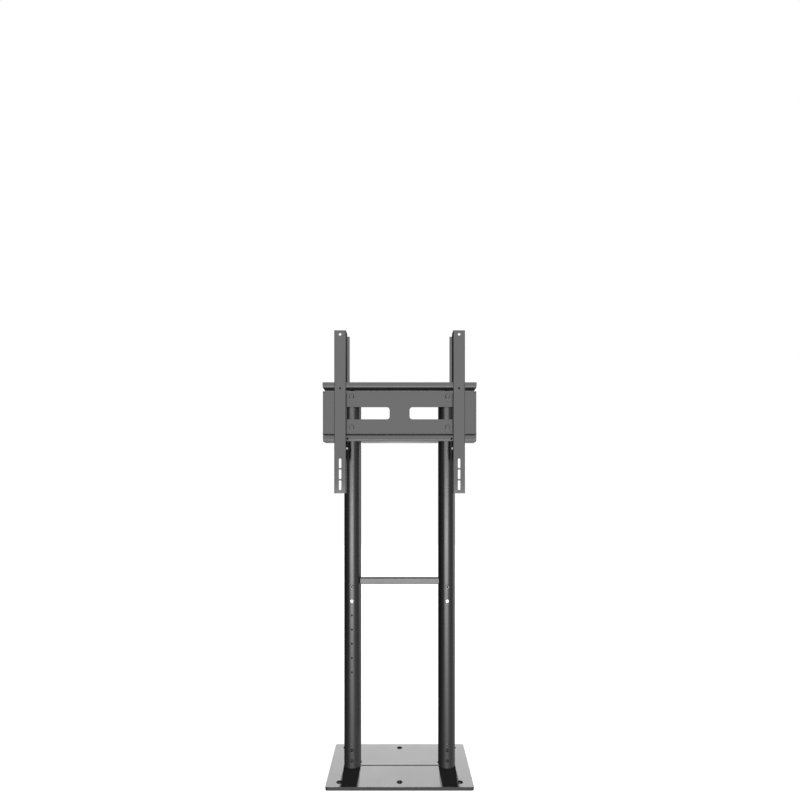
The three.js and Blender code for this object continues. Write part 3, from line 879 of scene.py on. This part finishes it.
def makeCarrier():
    half = carrier["sheet"] / 2
    web = carrier["front"] + half
    section = foldedSheet([(carrier["rear"], carrier["bottom"] + half), (web, carrier["bottom"] + half),
                           (web, carrier["top"] - half), (carrier["rear"], carrier["top"] - half)],
                          carrier["sheet"], carrier["bend"])
    body = placed(raised(section, -carrier["half"], carrier["half"]), sectionAlongX)
    cutters = plateCutters()
    low, high = carrier["bottom"] - runOver, carrier["bottom"] + carrier["sheet"] + carrier["bend"] + runOver
    reach = post["radius"] + fitGap
    steps = carrier["notchSteps"]
    for _, side in hands:
        x = side * post["x"]
        mouth = []
        for i in range(steps + 1):
            angle = math.pi + math.pi * i / steps
            mouth.append((x + reach * math.cos(angle), reach * math.sin(angle)))
        mouth += [(x + reach, carrier["rear"] + runOver), (x - reach, carrier["rear"] + runOver)]
        cutters.append(raised(mouth, low, high))
    makePiece("post_carrier", body, cutters, carrier["edge"], finish="sheet")


def makeHookPlate():
    half = hook["sheet"] / 2
    web = hook["rear"] - half
    section = foldedSheet([(hook["front"], hook["ledge"] + half), (web, hook["ledge"] + half),
                           (web, hook["rail"] + half), (hook["front"] + half, hook["rail"] + half),
                           (hook["front"] + half, hook["lip"])], hook["sheet"], hook["bend"])
    body = placed(raised(section, -hook["half"], hook["half"]), sectionAlongX)
    makePiece("hook_plate", body, plateCutters(), hook["edge"], finish="hook")


def mountBoltMesh(seat):
    parts = [turned(mountBolt["flange"]), hexagonBlank(mountBolt["across"], *mountBolt["head"])]
    parts += shankParts(mountBolt["radius"], mountBolt["pitch"], -(mountBolt["end"] - seat),
                        mountBolt["threadLength"])
    return joinMeshes("bolt", parts)


# A round pad behind the post, hollowed to lie on it.
def saddleMesh():
    radius, rear, chamfer = saddle["radius"], saddle["rear"], saddle["chamfer"]
    blank = turned([(radius, saddle["front"]), (radius, rear - chamfer), (radius - chamfer, rear)])
    hollow = placed(pin(post["radius"] + fitGap, -saddle["half"], saddle["half"], facets["tube"]), alongX)
    mesh = carvedMesh(blank, [pin(mount["holeRadius"], 0, saddle["drill"], facets["hole"]), hollow])
    mesh.transform(Matrix.Rotation(math.pi / 2, 4, "Z"))
    return mesh


def makeMountBolts():
    seat = hook["rear"] - hook["sheet"] - fitGap
    for hand, side in hands:
        x = side * post["x"]
        for level, z in zip(("upper", "lower"), mount["heights"]):
            name = f"{hand}_{level}_mount"
            makePiece(name + "_bolt", placed(mountBoltMesh(seat), againstY, (x, seat, z)), finish="sheet")
            makePiece(name + "_saddle", placed(saddleMesh(), alongY, (x, 0, z)), edge=saddle["edge"],
                      finish="plug")
            nut = nutMesh(mountBolt["across"], mountNut["height"], mount["holeRadius"])
            makePiece(name + "_nut", placed(nut, alongY, (x, mountNut["y"], z)), finish="dull")


makeCarrier()
makeHookPlate()
makeMountBolts()
print("mount made")


# TV arms with their lock clips

arm = {"x": 201.5, "bottom": 978, "top": 1530, "width": 40, "front": -92, "rear": -51, "sheet": 2,
       "bend": 0.3, "edge": 0.3, "drill": (80, 100)}  # drill: how far in front of the posts' axes
wing = {"reach": 8.7, "bottom": 1362, "top": 1521}
hole = {"radius": 4.5, "z": 1516.5, "smallRadius": 3.5, "smallZ": 1334}
catch = {"depth": 15, "lipRoom": 4}  # cut-outs that take the rail with its lip, and the ledge
screwSlot = {"width": 8.6, "length": 33, "pitch": 37, "lowest": 1005.5, "count": 4, "flat": 0.3}
clip = {"sheet": 1.5, "bend": 0.8, "depth": 24, "bottom": 1098, "top": 1179.7, "travel": 16, "track": 6.6,
        "flat": 0.3, "edge": 0.25, "drill": 30}
lock = {
    "y": -73,
    "z": 1132,
    "hole": 3.3,
    "radius": 3,
    "pitch": 1,
    "threadLength": 16,
    "across": 10,
    "head": 4,
    "nut": 1.6,
    "past": 1.4,  # how far the bolt goes past the arm and into the nut
}


def makeArms():
    wall = arm["width"] / 2 - arm["sheet"] / 2
    face = arm["front"] + arm["sheet"] / 2
    back = arm["rear"] - arm["sheet"] / 2
    tip = arm["width"] / 2 + wing["reach"]
    across = arm["width"]
    front, rear = hook["front"] - fitGap, arm["rear"] + runOver
    lipRear = hook["front"] + catch["lipRoom"]
    over = hook["sheet"] + fitGap
    plain = foldedSheet([(-wall, arm["rear"]), (-wall, face), (wall, face), (wall, arm["rear"])],
                        arm["sheet"], arm["bend"])
    for hand, side in hands:
        corners = [(side * wall, arm["rear"]), (side * wall, face), (-side * wall, face),
                   (-side * wall, back), (-side * tip, back)]
        hat = foldedSheet(corners, arm["sheet"], arm["bend"])
        thing = looseObject(hand + "_tv_arm_fine", raised(plain, arm["bottom"], arm["top"]))
        carve(thing, [raised(hat, wing["bottom"], wing["top"])], "UNION")
        cutters = [
            block(-across, across, front, rear, hook["rail"] - catch["depth"], hook["rail"] + over),
            block(-across, across, front, lipRear, hook["rail"], hook["lip"] + fitGap),
            block(-across, across, front, rear, hook["ledge"] - catch["depth"], hook["ledge"] + over),
            placed(pin(hole["radius"], *arm["drill"], facets["stem"]), againstY, (0, 0, hole["z"])),
            placed(pin(hole["smallRadius"], *arm["drill"], facets["hole"]), againstY, (0, 0, hole["smallZ"])),
            placed(pin(lock["hole"], -across, across, facets["hole"]), alongX, (0, lock["y"], lock["z"])),
        ]
        for i in range(screwSlot["count"]):
            outline = roundedRect(screwSlot["width"], screwSlot["length"],
                                  screwSlot["width"] / 2 - screwSlot["flat"])
            z = screwSlot["lowest"] + i * screwSlot["pitch"]
            cutters.append(placed(raised(outline, *arm["drill"]), againstY, (0, 0, z)))
        carve(thing, cutters)
        softenEdges(thing, arm["edge"])
        thing.data.transform(Matrix.Translation((side * arm["x"], 0, 0)))
        finishPiece(thing, hand + "_arm", "sheet", hand + "_tv_arm")


def makeLockClips():
    cheek = arm["width"] / 2 - arm["sheet"] - fitGap - clip["sheet"] / 2
    web = arm["front"] + arm["sheet"] + fitGap + clip["sheet"] / 2
    rear = web - clip["sheet"] / 2 + clip["depth"]
    section = foldedSheet([(-cheek, rear), (-cheek, web), (cheek, web), (cheek, rear)], clip["sheet"],
                          clip["bend"])
    track = roundedRect(clip["travel"] + clip["track"], clip["track"], clip["track"] / 2 - clip["flat"])
    for hand, side in hands:
        body = placed(raised(section, clip["bottom"], clip["top"]), at=(side * arm["x"], 0, 0))
        window = placed(raised(track, -clip["drill"], clip["drill"]), alongX,
                        (side * arm["x"], lock["y"], lock["z"] + clip["travel"] / 2))
        makePiece(hand + "_lock_clip", body, [window], clip["edge"], body=hand + "_lock", finish="sheet")


def makeLockBolts():
    seat = arm["width"] / 2 + fitGap
    for hand, side in hands:
        parts = [hexagonBlank(lock["across"], 0, lock["head"])]
        parts += shankParts(lock["radius"], lock["pitch"], -(2 * seat + lock["past"]), lock["threadLength"])
        bolt = placed(joinMeshes("bolt", parts), sideways(-side),
                      (side * (arm["x"] - seat), lock["y"], lock["z"]))
        makePiece(hand + "_lock_bolt", bolt, body=hand + "_arm", finish="dull")
        nut = placed(nutMesh(lock["across"], lock["nut"], lock["hole"]), sideways(side),
                     (side * (arm["x"] + seat), lock["y"], lock["z"]))
        makePiece(hand + "_lock_nut", nut, body=hand + "_arm", finish="dull")


makeArms()
makeLockClips()
makeLockBolts()
print("arms made")


# Plate, bar, hook plate and arms would darken what is beside them, so they aren't mirrored.
def leaveOutOfReflections():
    for name in ("base_plate", "foot_tie_bar", "hook_plate", "left_tv_arm", "right_tv_arm"):
        bpy.data.objects[name + "_fine"].visible_glossy = False


# Studio: pale floor, white to the camera, soft greys to mirror and a low light behind for the plate

studio = {
    "floorHalf": 8.0,
    "floorGrey": 0.85,
    "floorGlow": 0.85,
    "floorRoughness": 0.9,
    "sunElevation": 32,
    "sunStrength": 47.0,
    "sunAngle": 4.8,
    "strength": 10.0,
}

# What the stand mirrors: by elevation in degrees, stops of (azimuth, grey).
# Azimuth 0 is to the front and 90 to the right.
surround = (
    (-62, ((-180, 0.10), (-90, 0.5), (0, 0.9), (90, 0.5), (180, 0.10))),
    (-46, ((-180, 0.02), (-150, 0.004), (-100, 0.01), (-40, 0.03), (0, 0.04), (40, 0.03), (110, 0.03),
           (150, 0.004), (180, 0.02))),
    (-31, ((-180, 0.02), (-165, 0.002), (-100, 0.015), (-50, 0.06), (-30, 0.12), (-8, 0.15), (12, 0.14),
           (34, 0.10), (60, 0.09), (120, 0.07), (165, 0.002), (180, 0.02))),
    (-23, ((-180, 0.03), (-165, 0.002), (-140, 0.005), (-103, 0.015), (-65, 0.05), (-42, 0.10), (-20, 0.24),
           (-4, 0.36), (10, 0.34), (34, 0.15), (60, 0.09), (97, 0.09), (125, 0.06), (150, 0.01),
           (165, 0.002), (180, 0.03))),
    (-15, ((-180, 0.06), (-165, 0.002), (-140, 0.004), (-94, 0.011), (-60, 0.03), (-40, 0.07), (-25, 0.36),
           (-12, 0.56), (3, 0.58), (16, 0.46), (30, 0.14), (48, 0.09), (84, 0.06), (102, 0.18), (126, 0.06),
           (150, 0.01), (165, 0.002), (180, 0.06))),
    (-6, ((-180, 0.08), (-165, 0.002), (-140, 0.004), (-100, 0.008), (-60, 0.03), (-38, 0.08), (-25, 1.0),
          (-7, 1.22), (8, 1.18), (22, 0.15), (45, 0.075), (80, 0.055), (92, 0.14), (110, 0.23), (132, 0.07),
          (152, 0.01), (165, 0.002), (180, 0.08))),
    (-2, ((-180, 0.002), (-140, 0.004), (-100, 0.008), (-60, 0.03), (-38, 0.08), (-25, 1.2),
          (-7, 1.75), (8, 1.7), (22, 0.15), (45, 0.075), (80, 0.055), (92, 0.14), (110, 0.23), (132, 0.07),
          (152, 0.01), (180, 0.002))),
    (0.5, ((-180, 0.002), (-140, 0.004), (-60, 0.03), (-38, 0.08), (-29, 0.38), (19, 0.38), (30, 0.10),
           (80, 0.05), (112, 0.28), (150, 0.01), (180, 0.002))),
    (14, ((-180, 0.002), (-140, 0.004), (-60, 0.03), (-38, 0.08), (-29, 0.39), (19, 0.39), (30, 0.10),
          (80, 0.05), (112, 0.16), (150, 0.01), (180, 0.002))),
    (23, ((-180, 0.002), (-60, 0.03), (-29, 0.39), (19, 0.39), (32, 0.09), (112, 0.1), (180, 0.002))),
    (34, ((-180, 0.004), (-60, 0.02), (-29, 0.06), (19, 0.06), (112, 0.03), (180, 0.004))),
    (60, ((-180, 0.01), (0, 0.04), (180, 0.01))),
)


def makeFloor():
    half = studio["floorHalf"]
    mesh = bpy.data.meshes.new("studioFloor")
    bm = bmesh.new()
    corners = [(-half, -half, 0), (half, -half, 0), (half, half, 0), (-half, half, 0)]
    bm.faces.new([bm.verts.new(c) for c in corners])
    bm.to_mesh(mesh)
    bm.free()
    floor = looseObject("studioFloor", mesh)
    material, tree, shader = newMaterial("studioFloor")
    grey = studio["floorGrey"]
    shader.inputs["Base Color"].default_value = (grey, grey, grey, 1)
    shader.inputs["Roughness"].default_value = studio["floorRoughness"]
    shader.inputs["Specular IOR Level"].default_value = 0.0
    shader.inputs["Emission Color"].default_value = (1, 1, 1, 1)
    shader.inputs["Emission Strength"].default_value = studio["floorGlow"]
    mesh.materials.append(material)
    floor.visible_glossy = False
    floor.visible_diffuse = False


def azimuthRamp(tree, azimuth, stops):
    node = addNode(tree, "ShaderNodeValToRGB")
    elements = node.color_ramp.elements
    while len(elements) < len(stops):
        elements.new(0.5)
    for element, (degrees, grey) in zip(elements, stops):
        element.position = degrees / 360 + 0.5
        element.color = (grey, grey, grey, 1)
    tree.links.new(azimuth, node.inputs["Fac"])
    return node.outputs["Color"]


def calculate(tree, operation, a, b=None):
    node = addNode(tree, "ShaderNodeMath", operation=operation)
    for i, value in enumerate((a, b)):
        if isinstance(value, (int, float)):
            node.inputs[i].default_value = value
        elif value is not None:
            tree.links.new(value, node.inputs[i])
    return node.outputs[0]


# White where the camera looks. For light and reflections, a ramp of greys over the azimuth per elevation.
def makeWorld():
    world = bpy.data.worlds.new("studioWorld")
    world.use_nodes = True
    tree = world.node_tree
    tree.nodes.clear()
    way = addNode(tree, "ShaderNodeTexCoord").outputs["Generated"]
    parts = addNode(tree, "ShaderNodeSeparateXYZ")
    tree.links.new(way, parts.inputs[0])
    x, y, z = parts.outputs
    azimuth = calculate(tree, "ARCTAN2", x, calculate(tree, "MULTIPLY", y, -1))
    azimuth = calculate(tree, "ADD", calculate(tree, "DIVIDE", azimuth, 2 * math.pi), 0.5)
    elevation = calculate(tree, "MULTIPLY", calculate(tree, "ARCSINE", z), 180 / math.pi)
    total = azimuthRamp(tree, azimuth, surround[0][1])
    for (low, _), (high, stops) in zip(surround, surround[1:]):
        mixed = addNode(tree, "ShaderNodeMix", data_type="RGBA")
        tree.links.new(spread(tree, elevation, 0, 1, low, high), mixed.inputs["Factor"])
        tree.links.new(total, mixed.inputs["A"])
        tree.links.new(azimuthRamp(tree, azimuth, stops), mixed.inputs["B"])
        total = mixed.outputs["Result"]
    light = addNode(tree, "ShaderNodeBackground")
    light.inputs["Strength"].default_value = studio["strength"]
    tree.links.new(total, light.inputs["Color"])
    white = addNode(tree, "ShaderNodeBackground")
    white.inputs["Color"].default_value = (1, 1, 1, 1)
    rays = addNode(tree, "ShaderNodeLightPath")
    shown = addNode(tree, "ShaderNodeMixShader")
    tree.links.new(rays.outputs["Is Camera Ray"], shown.inputs[0])
    tree.links.new(light.outputs[0], shown.inputs[1])
    tree.links.new(white.outputs[0], shown.inputs[2])
    output = addNode(tree, "ShaderNodeOutputWorld")
    tree.links.new(shown.outputs[0], output.inputs[0])
    bpy.context.scene.world = world


# Low and far behind the stand, on the plate and its bar alone, so that the posts lay dark bands over them.
def makeRearLight():
    data = bpy.data.lights.new("rearLight", "SUN")
    data.energy = studio["sunStrength"]
    data.angle = math.radians(studio["sunAngle"])
    lamp = bpy.data.objects.new("rearLight", data)
    lamp.rotation_euler = (math.radians(-(90 - studio["sunElevation"])), 0, 0)
    bpy.context.scene.collection.objects.link(lamp)
    lit = bpy.data.collections.new("litFromBehind")
    for name in ("base_plate_fine", "foot_tie_bar_fine"):
        lit.objects.link(bpy.data.objects[name])
    lamp.light_linking.receiver_collection = lit
    shading = bpy.data.collections.new("shadesThePlate")
    for name in ("left_post_fine", "right_post_fine", "base_plate_fine"):
        shading.objects.link(bpy.data.objects[name])
    lamp.light_linking.blocker_collection = shading


makeFloor()
makeWorld()
leaveOutOfReflections()
makeRearLight()
bpy.context.scene.view_settings.view_transform = "Standard"
print("studio made")
